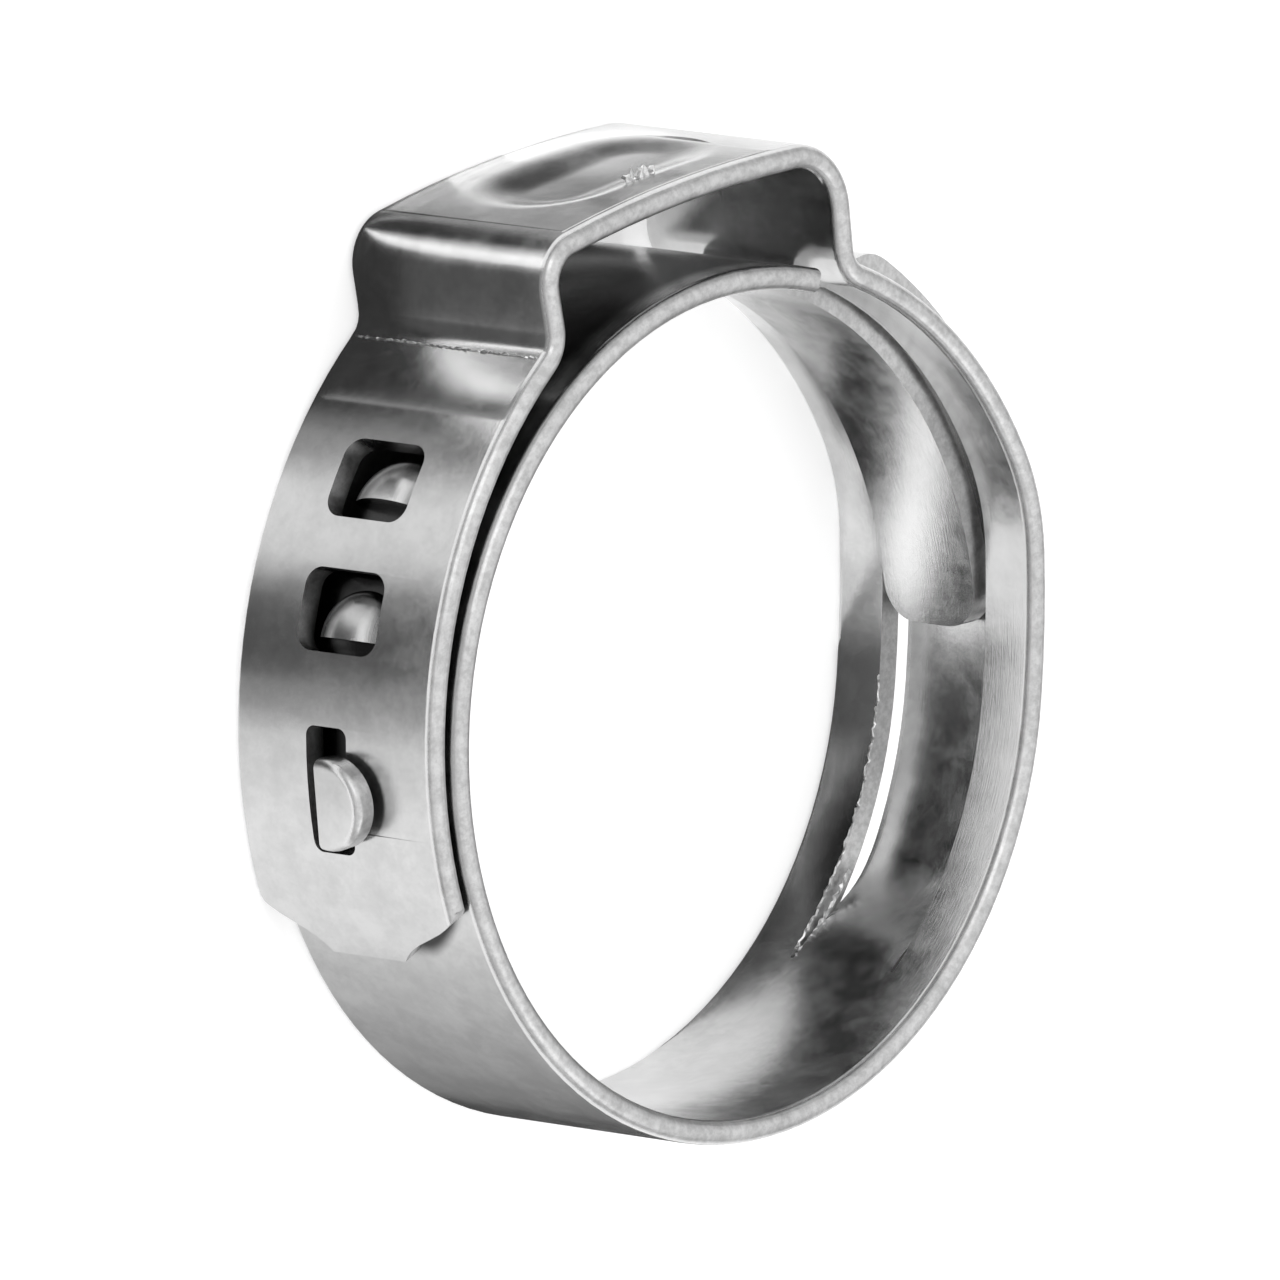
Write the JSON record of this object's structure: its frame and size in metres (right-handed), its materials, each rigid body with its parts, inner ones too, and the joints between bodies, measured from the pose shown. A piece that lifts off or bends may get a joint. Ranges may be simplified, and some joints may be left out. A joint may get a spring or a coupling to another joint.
{
  "type": "ear hose clamp",
  "caption": "Single-ear stepless hose clamp of stainless strip, with hooks in windows on the left and a tongue in a pressed channel on the right.",
  "frame": {"origin": "on the bore axis, at the plane of the rim that the clamp stands on", "axes": "+Z along the bore axis, +Y from the bore towards the ear, +X towards the side with the tongue's channel"},
  "size_m": [0.028, 0.0277, 0.0075],
  "materials": {
    "steel": "satin, with brighter rims"
  },
  "bodies": {
    "root": {"clamp_band": "steel"}
  },
  "joints": []
}
